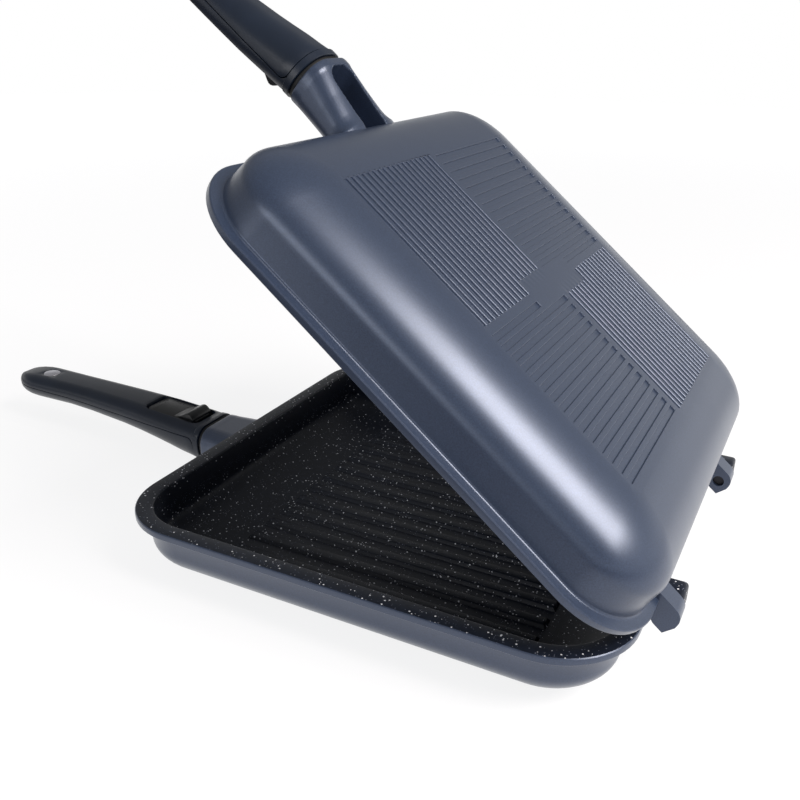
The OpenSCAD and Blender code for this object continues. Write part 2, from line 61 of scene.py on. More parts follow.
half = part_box("bottom_pan")[1].y                 # half of the square rim
rim_top = 36.5 * MM                              # height of one pan
rim_under = rim_top - 4 * MM                     # underside of the rim
rim_corner = 40                                  # radius of the rim's corners, in millimetres
closing_z = 36.8 * MM                            # the plane in which the two pans meet
hinge_x = half + 7.4 * MM
open_angle = math.radians(39)
corner_steps = 16                                # segments in each corner of the rim
hair = 0.01 * MM                                 # two heights nearer than this are the same
print(f"rim {2000 * half:.0f} mm square, closing plane at {1000 * closing_z:.1f} mm")

# %% [markdown]
# ## Working as by hand
# Each piece starts as a primitive and is shaped in edit mode. An operator acts on whatever is
# selected, so small helpers keep the selection clean: they open a piece for editing and close it
# again, and they select vertices, edges or faces by where their middle lies.

# %% Helpers for edit mode
def only(piece):
    """Makes a piece the only selected object, and the active one."""
    bpy.ops.object.select_all(action="DESELECT")
    piece.select_set(True)
    bpy.context.view_layer.objects.active = piece


def new_primitive(operator, **settings):
    """Adds a primitive by its operator, with no other object selected."""
    bpy.ops.object.select_all(action="DESELECT")
    operator(**settings)
    return bpy.context.object


def open_edit(piece):
    """Enters edit mode on one piece."""
    only(piece)
    bpy.ops.object.mode_set(mode="EDIT")


def select(kind, test):
    """Selects the VERT, EDGE or FACE elements whose middle passes the test, and counts them."""
    bpy.ops.mesh.select_mode(type=kind)
    bpy.ops.mesh.select_all(action="DESELECT")
    mesh = bpy.context.edit_object.data
    bm = bmesh.from_edit_mesh(mesh)
    place = bpy.context.edit_object.matrix_world
    groups = {"VERT": bm.verts, "EDGE": bm.edges, "FACE": bm.faces}
    count = 0
    for element in groups[kind]:
        if kind == "VERT":
            middle = element.co
        elif kind == "EDGE":
            middle = (element.verts[0].co + element.verts[1].co) / 2
        else:
            middle = element.calc_center_median()
        if test(place @ middle, element):
            element.select_set(True)
            count += 1
    bm.select_flush_mode()
    bmesh.update_edit_mesh(mesh)
    return count


def face_out():
    """Selects the whole mesh in edit mode and turns its faces outwards."""
    bpy.ops.mesh.select_all(action="SELECT")
    bpy.ops.mesh.normals_make_consistent(inside=False)


def close_edit(name):
    """Leaves edit mode, moves the piece's place into its mesh and names it."""
    bpy.ops.object.mode_set(mode="OBJECT")
    piece = bpy.context.object
    bpy.ops.object.transform_apply(location=True, rotation=True, scale=True)
    piece.name = name
    piece.data.name = name
    return piece


# %% Helpers for whole pieces
def apply_modifier(piece, kind, **settings):
    """Adds a modifier with its settings to a piece and applies it."""
    only(piece)
    modifier = piece.modifiers.new(kind.title(), kind)
    for key, value in settings.items():
        setattr(modifier, key, value)
    bpy.ops.object.modifier_apply(modifier=modifier.name)


def cut(piece, cutter, operation="DIFFERENCE"):
    """Cuts a piece with a cutter, or keeps what both share, and deletes the cutter."""
    apply_modifier(piece, "BOOLEAN", operation=operation, solver="EXACT", object=cutter)
    bpy.data.objects.remove(cutter)


def round_edges(piece, width, degrees, segments=2):
    """Bevels every edge of a piece at which two faces meet at more than an angle."""
    apply_modifier(piece, "BEVEL", width=width, segments=segments, limit_method="ANGLE",
                   angle_limit=math.radians(degrees))


def copy_of(piece, name, place=Matrix.Identity(4)):
    """A copy with its own mesh, moved by a matrix, and turned right side out if mirrored."""
    twin = piece.copy()
    twin.data = piece.data.copy()
    twin.name = name
    twin.data.name = name
    bpy.context.collection.objects.link(twin)
    twin.data.transform(place)
    if place.determinant() < 0:
        twin.data.flip_normals()
    return twin


def join(pieces, name):
    """Joins pieces into the first one."""
    only(pieces[0])
    for piece in pieces:
        piece.select_set(True)
    bpy.ops.object.join()
    pieces[0].name = name
    pieces[0].data.name = name
    return pieces[0]


def smooth(piece, degrees=35):
    """Smooth shading, with a crease wherever two faces meet at more than an angle."""
    only(piece)
    bpy.ops.object.shade_smooth_by_angle(angle=math.radians(degrees))


# %% [markdown]
# ## One half gives the other
# Both halves come from one mould, so only the lower half is modelled. The upper half is a copy,
# mirrored about the closing plane and then swung open on the hinge. One matrix does both.

# %% From the lower half to the upper half
mirror = Matrix.Translation((0, 0, 2 * closing_z)) @ Matrix.Scale(-1, 4, (0, 0, 1))
swing = (Matrix.Translation((hinge_x, 0, closing_z)) @ Matrix.Rotation(open_angle, 4, "Y")
         @ Matrix.Translation((-hinge_x, 0, -closing_z)))
to_upper = swing @ mirror
print("the upper pan's handle end rises to", (to_upper @ Vector((-half, 0, rim_top)) / MM)[:])

# %% [markdown]
# ## The camera
# The photograph was matched by its straight rims: a viewpoint 26 degrees round from the front and
# 23 degrees up, half a metre away. The camera is built from those numbers with a look-at
# rotation and a small roll.

# %% Camera at the photograph's angle
camera_azimuth = math.radians(26.42)
camera_elevation = math.radians(23.18)
camera_roll = math.radians(1.21)
camera_distance = 524.3 * MM
camera_target = Vector((-31.02, 0, 72.85)) * MM
picture_width = 800                              # pixels
focal_pixels = 908.22                            # focal length, in the picture's pixels
film_width = 36                                  # millimetres

back = Vector((math.sin(camera_azimuth) * math.cos(camera_elevation),
               -math.cos(camera_azimuth) * math.cos(camera_elevation),
               math.sin(camera_elevation)))
camera_data = bpy.data.cameras.new("Camera")
camera_data.sensor_width = film_width
camera_data.lens = film_width * focal_pixels / picture_width
camera_data.clip_start = 0.01
camera = bpy.data.objects.new("Camera", camera_data)
bpy.context.collection.objects.link(camera)
camera.rotation_euler = (back.to_track_quat("Z", "Y").to_matrix().to_4x4()
                         @ Matrix.Rotation(camera_roll, 4, "Z")).to_euler()
camera.location = camera_target + camera_distance * back
bpy.context.scene.camera = camera
print(f"lens {camera_data.lens:.1f} mm at", tuple(round(c, 3) for c in camera.location))

# %% [markdown]
# ## Colours and nodes
# A material is a small graph. One helper adds a node, fills in its inputs and returns it, so that
# each finish below reads from top to bottom. Colours are written as the hex values a designer
# would pick, and one function turns them into the linear values that light adds up in.

# %% Helpers for materials
def linear(hex_colour):
    """An sRGB colour such as 5B6379, as a linear RGBA tuple."""
    channels = [int(hex_colour[i:i + 2], 16) / 255 for i in (0, 2, 4)]
    return tuple(c / 12.92 if c <= 0.04045 else ((c + 0.055) / 1.055) ** 2.4
                 for c in channels) + (1.0,)


def new_material(name):
    """A material with nodes: returns it with its own shader and its node tree."""
    material = bpy.data.materials.new(name)
    material.use_nodes = True
    return material, material.node_tree.nodes["Principled BSDF"], material.node_tree


def add(tree, kind, inputs=None, **settings):
    """Adds a node with its settings. An input that is given a socket is linked to it."""
    node = tree.nodes.new(kind)
    for key, value in settings.items():
        setattr(node, key, value)
    for key, value in (inputs or {}).items():
        if isinstance(value, bpy.types.NodeSocket):
            tree.links.new(value, node.inputs[key])
        else:
            node.inputs[key].default_value = value
    return node


# %% [markdown]
# ## Paint on the castings
# The outside of each pan is cast aluminium under a baked silicone paint. Metal flakes float in
# the paint, so it is neither a plastic nor bare metal: a dark steel blue where it faces away
# from the light, with a wide soft highlight. A metallic share of about a third, a roughness of
# about a third and a clear coat as dull as that give it. The flakes and the cast surface below
# leave a faint grain, which noise drives into the colour and the bump. A slower noise lets the
# colour and the roughness drift, as they do on a sprayed casting.

# %% Silicone paint with metal flakes
painted, shader, tree = new_material("flake_silicone_paint_on_cast_aluminium")
place = add(tree, "ShaderNodeTexCoord").outputs["Object"]
# Real flakes are 0.05 mm. They are drawn 0.6 mm apart, the finest grain that the picture shows
flakes = add(tree, "ShaderNodeTexNoise", {"Vector": place, "Scale": 1 / (0.6 * MM), "Detail": 3.0})
drift = add(tree, "ShaderNodeTexNoise", {"Vector": place, "Scale": 1 / (40 * MM), "Detail": 2.0})
flake_tone = add(tree, "ShaderNodeMapRange", {"Value": flakes.outputs["Fac"],
                                              "From Min": 0.35, "From Max": 0.75})
flaked = add(tree, "ShaderNodeMixRGB", {"Fac": flake_tone.outputs["Result"],
                                        "Color1": linear("2D3950"), "Color2": linear("3B4A66")})
drift_tone = add(tree, "ShaderNodeMapRange", {"Value": drift.outputs["Fac"],
                                              "From Min": 0.3, "From Max": 0.7,
                                              "To Min": 0.0, "To Max": 0.35})
paint_colour = add(tree, "ShaderNodeMixRGB", {"Fac": drift_tone.outputs["Result"],
                                              "Color1": flaked.outputs["Color"],
                                              "Color2": linear("344159")})
tree.links.new(paint_colour.outputs["Color"], shader.inputs["Base Color"])
paint_rough = add(tree, "ShaderNodeMapRange", {"Value": drift.outputs["Fac"],
                                               "From Min": 0.3, "From Max": 0.7,
                                               "To Min": 0.33, "To Max": 0.37})
tree.links.new(paint_rough.outputs["Result"], shader.inputs["Roughness"])
peel = add(tree, "ShaderNodeBump", {"Height": flakes.outputs["Fac"], "Strength": 0.35,
                                    "Distance": 0.03 * MM})
tree.links.new(peel.outputs["Normal"], shader.inputs["Normal"])
shader.inputs["Metallic"].default_value = 0.38
shader.inputs["IOR"].default_value = 1.5
shader.inputs["Coat Weight"].default_value = 0.6
shader.inputs["Coat Roughness"].default_value = 0.33
shader.inputs["Coat IOR"].default_value = 1.5
print(painted.name, len(tree.nodes), "nodes")

# %% [markdown]
# ## Granite coating inside
# The cooking side and the lower lugs have a black nonstick coating with pale mineral chips. A
# Voronoi pattern scatters one point in each cell, and each cell's random colour decides whether
# it shows a chip and how big that is. Two such layers, a sparse pale one and a dense grey one,
# read as granite.

# %% Nonstick coating with stone chips
coating, shader, tree = new_material("granite_nonstick_coating")
place = add(tree, "ShaderNodeTexCoord").outputs["Object"]
ground = add(tree, "ShaderNodeTexNoise", {"Vector": place, "Scale": 1 / (3 * MM), "Detail": 4.0})
layer = add(tree, "ShaderNodeMixRGB", {"Fac": ground.outputs["Fac"], "Color1": linear("0B101B"),
                                       "Color2": linear("1D2433")}).outputs["Color"]
chips = None
# Real chips are 0.1 to 0.4 mm. The smallest are drawn at 0.5 mm, the finest that the picture
# shows. For each layer: spacing in millimetres, the biggest chip's share of it, and colour
for spacing, reach, chip_colour in ((1.1, 0.25, "767B8C"), (1.9, 0.26, "E4E7F0")):
    cells = add(tree, "ShaderNodeTexVoronoi", {"Vector": place, "Scale": 1 / (spacing * MM)})
    pick = add(tree, "ShaderNodeSeparateColor", {"Color": cells.outputs["Color"]})
    size = add(tree, "ShaderNodeMapRange", {"Value": pick.outputs["Red"],
                                            "From Min": 0.35, "From Max": 1.0,
                                            "To Min": 0.0, "To Max": reach})
    chip = add(tree, "ShaderNodeMath", {0: cells.outputs["Distance"], 1: size.outputs["Result"]},
               operation="LESS_THAN").outputs["Value"]
    layer = add(tree, "ShaderNodeMixRGB", {"Fac": chip, "Color1": layer,
                                           "Color2": linear(chip_colour)}).outputs["Color"]
    chips = chip if chips is None else add(tree, "ShaderNodeMath", {0: chips, 1: chip},
                                           operation="MAXIMUM").outputs["Value"]
tree.links.new(layer, shader.inputs["Base Color"])
waves = add(tree, "ShaderNodeBump", {"Height": ground.outputs["Fac"], "Strength": 0.5,
                                     "Distance": 0.08 * MM})
tree.links.new(waves.outputs["Normal"], shader.inputs["Normal"])
coat_rough = add(tree, "ShaderNodeMapRange", {"Value": chips, "To Min": 0.40, "To Max": 0.6})
tree.links.new(coat_rough.outputs["Result"], shader.inputs["Roughness"])
shader.inputs["IOR"].default_value = 1.35
print(coating.name, len(tree.nodes), "nodes")

# %% [markdown]
# ## Plastics and rubber
# The handles are phenolic, a hard black plastic pressed in a finely eroded steel mould, so its
# gloss is broken by a very fine grain. The slider is ABS from a smoother mould. The gap ring and
# the rim seal are silicone rubber, which is duller still. All three are plain surfaces that
# differ only in colour, gloss and grain, so one loop makes them.

# %% Phenolic, slider plastic and silicone rubber
resins = {}
# name: two close colours, two roughness values, spacing of the mould's grain, height of the grain
for name, dark, light, smooth_end, rough_end, grain_mm, height in (
        ("moulded_phenolic_plastic", "101825", "1D2738", 0.30, 0.38, 0.5, 0.03),
        ("smooth_moulded_abs", "111317", "191C21", 0.28, 0.36, 0.8, 0.01),
        ("silicone_rubber", "0B0C0E", "15161A", 0.52, 0.66, 1.2, 0.02)):
    resin, shader, tree = new_material(name)
    place = add(tree, "ShaderNodeTexCoord").outputs["Object"]
    grain = add(tree, "ShaderNodeTexNoise", {"Vector": place, "Scale": 1 / (grain_mm * MM),
                                             "Detail": 4.0})
    # the melt's slow flow lines, 22 mm apart
    flow = add(tree, "ShaderNodeTexNoise", {"Vector": place, "Scale": 1 / (22 * MM), "Detail": 3.0})
    tone = add(tree, "ShaderNodeMixRGB", {"Fac": flow.outputs["Fac"], "Color1": linear(dark),
                                          "Color2": linear(light)})
    tree.links.new(tone.outputs["Color"], shader.inputs["Base Color"])
    dull = add(tree, "ShaderNodeMapRange", {"Value": grain.outputs["Fac"],
                                            "From Min": 0.3, "From Max": 0.7,
                                            "To Min": smooth_end, "To Max": rough_end})
    tree.links.new(dull.outputs["Result"], shader.inputs["Roughness"])
    pits = add(tree, "ShaderNodeBump", {"Height": grain.outputs["Fac"], "Strength": 0.4,
                                        "Distance": height * MM})
    tree.links.new(pits.outputs["Normal"], shader.inputs["Normal"])
    shader.inputs["IOR"].default_value = 1.43
    resins[name] = resin
    print(name, len(tree.nodes), "nodes")
phenolic, slider_plastic, rubber = resins.values()

# %% [markdown]
# ## Metals
# Three small steel finishes, for zinc-plated screws, rolled springs and blackened pins and
# tongues, and nickel plate for the magnets. A metal has no colour below its reflection, so each
# is its reflection's colour and a roughness, and the tool marks show as streaks in both.

# %% Steel finishes and nickel
metals = {}
# name: dark and light colour, metallic share, roughness range, streaks per metre on X, Y and Z
for name, dark, light, share, smooth_end, rough_end, streaks in (
        ("zinc_plated_steel", "9FA2A6", "BFC2C4", 1.0, 0.28, 0.42, (700, 700, 700)),
        ("rolled_spring_steel", "7E8087", "A3A5AA", 1.0, 0.24, 0.38, (120, 2400, 2400)),
        ("blackened_steel", "1D1D21", "3A3A40", 0.7, 0.38, 0.55, (300, 1500, 1500)),
        ("nickel_plate", "B9B9C2", "D2D2DA", 0.9, 0.30, 0.42, (2200, 300, 2200))):
    metal, shader, tree = new_material(name)
    place = add(tree, "ShaderNodeTexCoord").outputs["Object"]
    along = add(tree, "ShaderNodeMapping", {"Vector": place, "Scale": streaks})
    marks = add(tree, "ShaderNodeTexNoise", {"Vector": along.outputs["Vector"], "Scale": 1.0,
                                             "Detail": 4.0})
    tone = add(tree, "ShaderNodeMixRGB", {"Fac": marks.outputs["Fac"], "Color1": linear(dark),
                                          "Color2": linear(light)})
    tree.links.new(tone.outputs["Color"], shader.inputs["Base Color"])
    dull = add(tree, "ShaderNodeMapRange", {"Value": marks.outputs["Fac"],
                                            "From Min": 0.3, "From Max": 0.7,
                                            "To Min": smooth_end, "To Max": rough_end})
    tree.links.new(dull.outputs["Result"], shader.inputs["Roughness"])
    scratches = add(tree, "ShaderNodeBump", {"Height": marks.outputs["Fac"], "Strength": 0.3,
                                             "Distance": 0.01 * MM})
    tree.links.new(scratches.outputs["Normal"], shader.inputs["Normal"])
    shader.inputs["Metallic"].default_value = share
    metals[name] = metal
    print(name, len(tree.nodes), "nodes")
zinc_plated, spring_steel, blackened_steel, nickel_plate = metals.values()

# %% [markdown]
# ## The pan casting
# A cast pan is one skin of aluminium: a flat base, a wide rounded edge, a nearly upright wall and
# a thin flange. The skin is built from three rounded squares. The outside and the inside are each
# inset step by step along their own outline, and the flange is bridged between them. Insetting
# keeps every ring parallel, so the corners stay true arcs and highlights run smoothly round them.

# %% Outlines of the casting, as inset from the rim's edge and height, in millimetres
def rounded_edge(foot, width, low, height, steps, last_degrees):
    """A quarter ellipse from an upright wall down to a flat, as (inset, height) points.

    It stops short of the full quarter, because the last step to the flat would be too thin.
    """
    angles = [math.radians(last_degrees * k / steps) for k in range(steps + 1)]
    return [(foot + width * (1 - math.cos(a)), low + height * (1 - math.sin(a))) for a in angles]


outside = [(4.6, 32.5), (5.4, 32.2), (5.95, 31.4)] + rounded_edge(
    foot=7.5, width=38.5, low=0, height=20, steps=18, last_degrees=86.1)
inside = [(9.5, 36.5)] + rounded_edge(
    foot=11, width=35, low=4.5, height=15.5, steps=16, last_degrees=84.3)
print("outline points:", len(outside), "outside and", len(inside), "inside")


# %% A rounded square that is inset along an outline
def rounded_square(size_half, corner_radius, z):
    """Adds a square plane with round corners and stays in edit mode."""
    new_primitive(bpy.ops.mesh.primitive_plane_add, size=2 * size_half, location=(0, 0, z))
    bpy.ops.object.mode_set(mode="EDIT")
    bpy.ops.mesh.select_all(action="SELECT")
    bpy.ops.mesh.bevel(affect="VERTICES", offset=corner_radius, segments=corner_steps, profile=0.5)


def follow(outline, turned_down):
    """Insets the plane along an outline, from the rim to the flat.

    Part of each step is an inset, which tightens the corner arcs, and the rest is scaling, which
    keeps them, so that the arcs at the rim end as small round corners on the flat.
    """
    inset_share = 0.74
    if turned_down:
        select("FACE", lambda middle, face: True)
        bpy.ops.mesh.flip_normals()
    for (inset_a, z_a), (inset_b, z_b) in zip(outline, outline[1:]):
        drop = (z_a - z_b) * MM
        step = (inset_b - inset_a) * MM
        bpy.ops.mesh.inset(thickness=inset_share * step, depth=drop if turned_down else -drop)
        size_now = half - inset_a * MM - inset_share * step
        shrink = (half - inset_b * MM) / size_now
        bpy.ops.transform.resize(value=(shrink, shrink, 1), center_override=(0, 0, 0))


# %% Outer skin, inner skin and flange
start = outside[0]
rounded_square(half - start[0] * MM, (rim_corner - start[0]) * MM, start[1] * MM)
follow(outside, turned_down=True)
outer_skin = close_edit("outer_skin")

start = inside[0]
rounded_square(half - start[0] * MM, (rim_corner - start[0]) * MM, start[1] * MM)
follow(inside, turned_down=False)
inner_skin = close_edit("inner_skin")

rounded_square(half, rim_corner * MM, rim_under)
bpy.ops.mesh.extrude_region_move(TRANSFORM_OT_translate={"value": (0, 0, rim_top - rim_under)})
select("FACE", lambda middle, face: abs(face.normal.z) > 0.9)
bpy.ops.mesh.delete(type="ONLY_FACE")
flange = close_edit("flange")
for skin, finish in ((outer_skin, painted), (inner_skin, coating), (flange, painted)):
    skin.data.materials.append(finish)
    print(skin.name, len(skin.data.vertices), [round(1000 * c, 2) for c in skin.dimensions])

# %% [markdown]
# ## The room inside the pan
# The neck will run right up to the pan's wall and must not come out inside. The inner skin,
# closed at the top and grown half into the wall, is the block that trims it.

# %% A closed block of the room, grown into the wall
above_rim, into_wall = 3 * MM, 1.7 * MM
room = copy_of(inner_skin, "inner_room")
open_edit(room)
select("EDGE", lambda middle, edge: edge.is_boundary)
bpy.ops.mesh.extrude_region_move(TRANSFORM_OT_translate={"value": (0, 0, above_rim)})
bpy.ops.mesh.edge_face_add()
face_out()
bpy.ops.transform.shrink_fatten(value=into_wall)
room = close_edit("inner_room")
print(room.name, [round(1000 * c, 2) for c in room.dimensions])

# %% [markdown]
# ## One closed skin
# A bridge joins two open loops of edges that have the same number of vertices. One closes the
# step under the rim and one the land on top of it. Then the rim's edges and the mouth are
# rounded, because they are ground by hand on the real pan.

# %% Bridge the flange to both skins
casting = join([outer_skin, inner_skin, flange], "pan_casting")
open_edit(casting)


def open_loop(z, edge):
    """Whether an edge is open and lies at a height."""
    return edge.is_boundary and abs((edge.verts[0].co.z + edge.verts[1].co.z) / 2 - z) < hair


for z in (rim_under, rim_top):
    print("open edges", select("EDGE", lambda middle, edge: open_loop(z, edge)))
    bpy.ops.mesh.bridge_edge_loops()
face_out()

# %% Round the rim's edges and the mouth
rim_round, mouth_round = 1.1 * MM, 0.9 * MM


def outermost(middle, edge):
    """Whether an edge runs level round the rim's outside."""
    if abs(edge.verts[0].co.z - edge.verts[1].co.z) >= hair:
        return False
    corner = half - rim_corner * MM
    dx, dy = max(abs(middle.x) - corner, 0), max(abs(middle.y) - corner, 0)
    return math.hypot(dx, dy) > (rim_corner - 0.2) * MM


def sharp(edge):
    """Whether two faces meet at an edge at more than 57 degrees, which is one radian."""
    return len(edge.link_faces) == 2 and edge.calc_face_angle(0) > 1.0


print("rim edges", select("EDGE", outermost))
bpy.ops.mesh.bevel(offset=rim_round, segments=3, profile=0.6, affect="EDGES")
print("mouth edges", select("EDGE", lambda middle, edge: abs(middle.z - rim_top) < hair
                            and sharp(edge)))
bpy.ops.mesh.bevel(offset=mouth_round, segments=3, profile=0.5, affect="EDGES")
casting = close_edit("pan_casting")
print("casting", len(casting.data.polygons), "faces",
      [round(1000 * c, 2) for c in casting.dimensions])

# %% [markdown]
# ## Grooves in the base
# Each base is cut into four quarters: two finely grooved along X and two coarsely grooved along Y,
# round a bare plate in the middle. The flat is bisected only where a groove begins or ends, and
# each strip is then inset and pushed in, and its lip is bevelled, because a casting has no sharp
# edge: the round lip is what catches the light as a fine line along each groove. A bump in the
# material would be quicker, but it would have no depth at the edge of the picture or in a mesh.

# %% Strips on a flat, as by hand with bisect
def flat_faces(z, low, high):
    """A test for faces lying flat at a height, between two corners."""
    def test(middle, face):
        return (abs(middle.z - z) < 5 * hair and abs(face.normal.z) > 0.999
                and low[0] < middle.x < high[0] and low[1] < middle.y < high[1])
    return test


def bisect_flat(z, axis, places, low, high):
    """Cuts the flat at each place along X (axis 0) or Y (axis 1), inside two corners."""
    for place in places:
        select("FACE", flat_faces(z, low, high))
        point = (place, 0, z) if axis == 0 else (0, place, z)
        normal = (1, 0, 0) if axis == 0 else (0, 1, 0)
        bpy.ops.mesh.bisect(plane_co=point, plane_no=normal)


# %% Sizes of the base pattern
panel_half = 89.5 * MM                           # half of the square that holds the grooves
panel_centre = (-1.8 * MM, 0)
quarter_in = 2 * MM                              # from the middle lines to each quarter
plate_half = Vector((8.75, 30, 0)) * MM          # half of the bare plate
plate_margin = 1.4 * MM
fine_count, fine_w = 18, 2.2 * MM
coarse_count, coarse_w = 15, 3.2 * MM
groove_side = 0.12 * MM                          # how far a groove's side leans in
groove_deep = 0.85 * MM
fine_lip, coarse_lip = 0.62 * MM, 0.3 * MM
base_z = 0.046 * MM
everywhere = (-half, -half), (half, half)
print(f"fine pitch {1000 * (panel_half - quarter_in) / fine_count:.2f} mm,",
      f"coarse pitch {1000 * (panel_half - quarter_in) / coarse_count:.2f} mm")

# %% Cut the flat into strips, quarter by quarter
open_edit(casting)
for axis in (0, 1):
    places = [panel_centre[axis] + offset
              for offset in (-panel_half, -quarter_in, quarter_in, panel_half)]
    bisect_flat(base_z, axis, places, *everywhere)
grooves = []
for side in (-1, 1):
    for axis, count, width in ((1, fine_count, fine_w), (0, coarse_count, coarse_w)):
        sides = (side, side if axis == 1 else -side)
        spans = [sorted(centre + s * reach for reach in (quarter_in, panel_half))
                 for centre, s in zip(panel_centre, sides)]
        low, high = (spans[0][0], spans[1][0]), (spans[0][1], spans[1][1])
        pitch = (panel_half - quarter_in) / count
        middles = [panel_centre[axis] + sides[axis] * (quarter_in + pitch * (k + 0.5))
                   for k in range(count)]
        for middle in middles:
            bisect_flat(base_z, axis, (middle - width / 2, middle + width / 2), low, high)
        grooves.append((axis, width, middles, low, high))
        # the strips that would run over the bare plate end half a groove's width before it
        other = 1 - axis
        edge = panel_centre[other] + sides[other] * (plate_half[other] + width / 2)
        reach = plate_half[axis] + width / 2
        near = [list(low), list(high)]
        near[0][axis] = max(low[axis], panel_centre[axis] - reach)
        near[1][axis] = min(high[axis], panel_centre[axis] + reach)
        bisect_flat(base_z, other, (edge,), *near)
print(len(grooves), "quarters with", sum(len(row[2]) for row in grooves), "grooves")


# %% Push the strips in and round their lips
def in_groove(middle, face):
    """Whether a face is the strip of a groove, and not the land beside it or the plate."""
    if not flat_faces(base_z, *everywhere)(middle, face):
        return False
    if (abs(middle.x - panel_centre[0]) < plate_half.x + plate_margin
            and abs(middle.y) < plate_half.y + plate_margin):
        return False
    for axis, width, middles, low, high in grooves:
        if low[0] < middle.x < high[0] and low[1] < middle.y < high[1]:
            return any(abs(middle[axis] - m) < 0.3 * width for m in middles)
    return False


print("grooves", select("FACE", in_groove))
bpy.ops.mesh.inset(thickness=groove_side, depth=-groove_deep, use_individual=True)


def lip(side):
    """A test for the lips of the fine quarters, side 1, or of the coarse quarters, side -1."""
    return lambda middle, edge: (abs(middle.z - base_z) < 5 * hair and sharp(edge)
                                 and side * (middle.x - panel_centre[0]) * middle.y > 0)


for side, width in ((1, fine_lip), (-1, coarse_lip)):
    print("lips", select("EDGE", lip(side)))
    bpy.ops.mesh.bevel(offset=width, segments=3, profile=0.5, affect="EDGES")
casting = close_edit("pan_casting")
print("casting", len(casting.data.polygons), "faces")

# %% [markdown]
# ## The neck
# Each pan's handle is fixed to a hollow cast neck. Its section is a D lying on its back: a
# crowned inner face and a round back. One square, its two inner corners bevelled a little and its
# two outer ones a lot, gives that D, and it is then pushed towards the pan and widened where it
# runs into the wall. The pocket and the tongue's window are cut out of it. Sand can't hold a
# sharp edge, so every edge of a casting is round: a fine remesh and a light smoothing do that to
# all of them at once, also where the pocket runs out over the curved back.

# %% A D-shaped bar that starts as a square
neck_end = half + 28.6 * MM                      # where the neck meets its handle
inner_corner = 10 * MM                           # radius of the crowned face's two edges
outer_corner = 0.43                              # size of the round back, as a share of the width


def d_section(x, width, inner, outer, back=0.5):
    """Starts a bar along X: a D section between two depths below the closing plane.

    The higher the value of back is, from 0.5 for a circle, the squarer the round back is.
    """
    middle_z = closing_z - (inner + outer) / 2
    new_primitive(bpy.ops.mesh.primitive_plane_add, size=1, location=(x, 0, middle_z),
                  rotation=(0, -math.pi / 2, 0))
    bpy.ops.object.mode_set(mode="EDIT")
    bpy.ops.mesh.select_all(action="SELECT")
    bpy.ops.transform.resize(value=(1, width, outer - inner), center_override=(x, 0, middle_z))
    select("VERT", lambda middle, vert: middle.z > middle_z)
    bpy.ops.mesh.bevel(affect="VERTICES", offset=inner_corner, segments=8, profile=0.5)
    select("VERT", lambda middle, vert: middle.z < middle_z - 0.49 * (outer - inner))
    bpy.ops.mesh.bevel(affect="VERTICES", offset=outer_corner * width, segments=12, profile=back)
    select("FACE", lambda middle, face: True)


def push(dx):
    """Extrudes the selected end along X."""
    bpy.ops.mesh.extrude_region_move(TRANSFORM_OT_translate={"value": (dx, 0, 0)})


def run_through(stations):
    """Pushes the open end of a bar through stations of (x, width, inner depth, outer depth)."""
    for here, there in zip(stations, stations[1:]):
        x, width, inner, outer = here
        next_x, next_width, next_inner, next_outer = there
        push(next_x - x)
        middle_z = closing_z - (inner + outer) / 2
        next_middle_z = closing_z - (next_inner + next_outer) / 2
        growth = (1, next_width / width, (next_outer - next_inner) / (outer - inner))
        bpy.ops.transform.resize(value=growth, center_override=(next_x, 0, middle_z))
        bpy.ops.transform.translate(value=(0, 0, next_middle_z - middle_z))
    face_out()


# %% A block with round corners, for pockets and plates
def slot_block(x0, x1, width, corner, z0, z1):
    """A block from x0 to x1 and from z0 to z1, with four round upright edges."""
    new_primitive(bpy.ops.mesh.primitive_plane_add, size=1, location=((x0 + x1) / 2, 0, z0))
    bpy.ops.object.mode_set(mode="EDIT")
    bpy.ops.mesh.select_all(action="SELECT")
    bpy.ops.transform.resize(value=(abs(x1 - x0), width, 1), center_override=((x0 + x1) / 2, 0, z0))
    bpy.ops.mesh.bevel(affect="VERTICES", offset=corner, segments=8, profile=0.5)
    bpy.ops.mesh.extrude_region_move(TRANSFORM_OT_translate={"value": (0, 0, z1 - z0)})
    face_out()
    return close_edit("block")


# %% The neck, with its flare, pocket and window
# place along X, width, inner depth and outer depth, in millimetres
neck_stations = [tuple(value * MM for value in row) for row in (
    (-163.6, 40.4, 6.8, 35.0), (-159.4, 40.8, 6.8, 34.9), (-157.8, 40.9, 6.9, 34.2),
    (-145.0, 44.4, 7.0, 31.0), (-133.0, 48.2, 7.0, 28.4), (-130.6, 49.4, 7.0, 28.0),
    (-129.0, 51.0, 6.8, 27.8), (-127.7, 53.6, 6.4, 27.6), (-126.8, 56.8, 5.9, 27.4),
    (-126.1, 60.5, 5.4, 27.2), (-122.5, 62.0, 5.4, 26.0), (-108.0, 56.0, 8.0, 22.0))]
neck_root = -neck_stations[-1][0]
d_section(*neck_stations[0], back=0.6)
run_through(neck_stations)
neck = close_edit("neck")
cut(neck, room)
pocket = slot_block(x0=-neck_end + 4.6 * MM, x1=-neck_root - 1 * MM, width=22.6 * MM,
                    corner=8 * MM, z0=closing_z - 38 * MM, z1=closing_z - 12.5 * MM)
cut(neck, pocket)
window = slot_block(x0=-neck_end - 1 * MM, x1=-neck_end + 11 * MM, width=16.8 * MM,
                    corner=0.5 * MM, z0=closing_z - 21.5 * MM, z1=closing_z - 14.1 * MM)
cut(neck, window)
voxel = 0.55 * MM                                # about the radius of a cast edge
apply_modifier(neck, "REMESH", mode="VOXEL", voxel_size=voxel)
apply_modifier(neck, "SMOOTH", factor=0.5, iterations=4)
neck.data.materials.append(painted)
print("neck", len(neck.data.polygons), "faces")

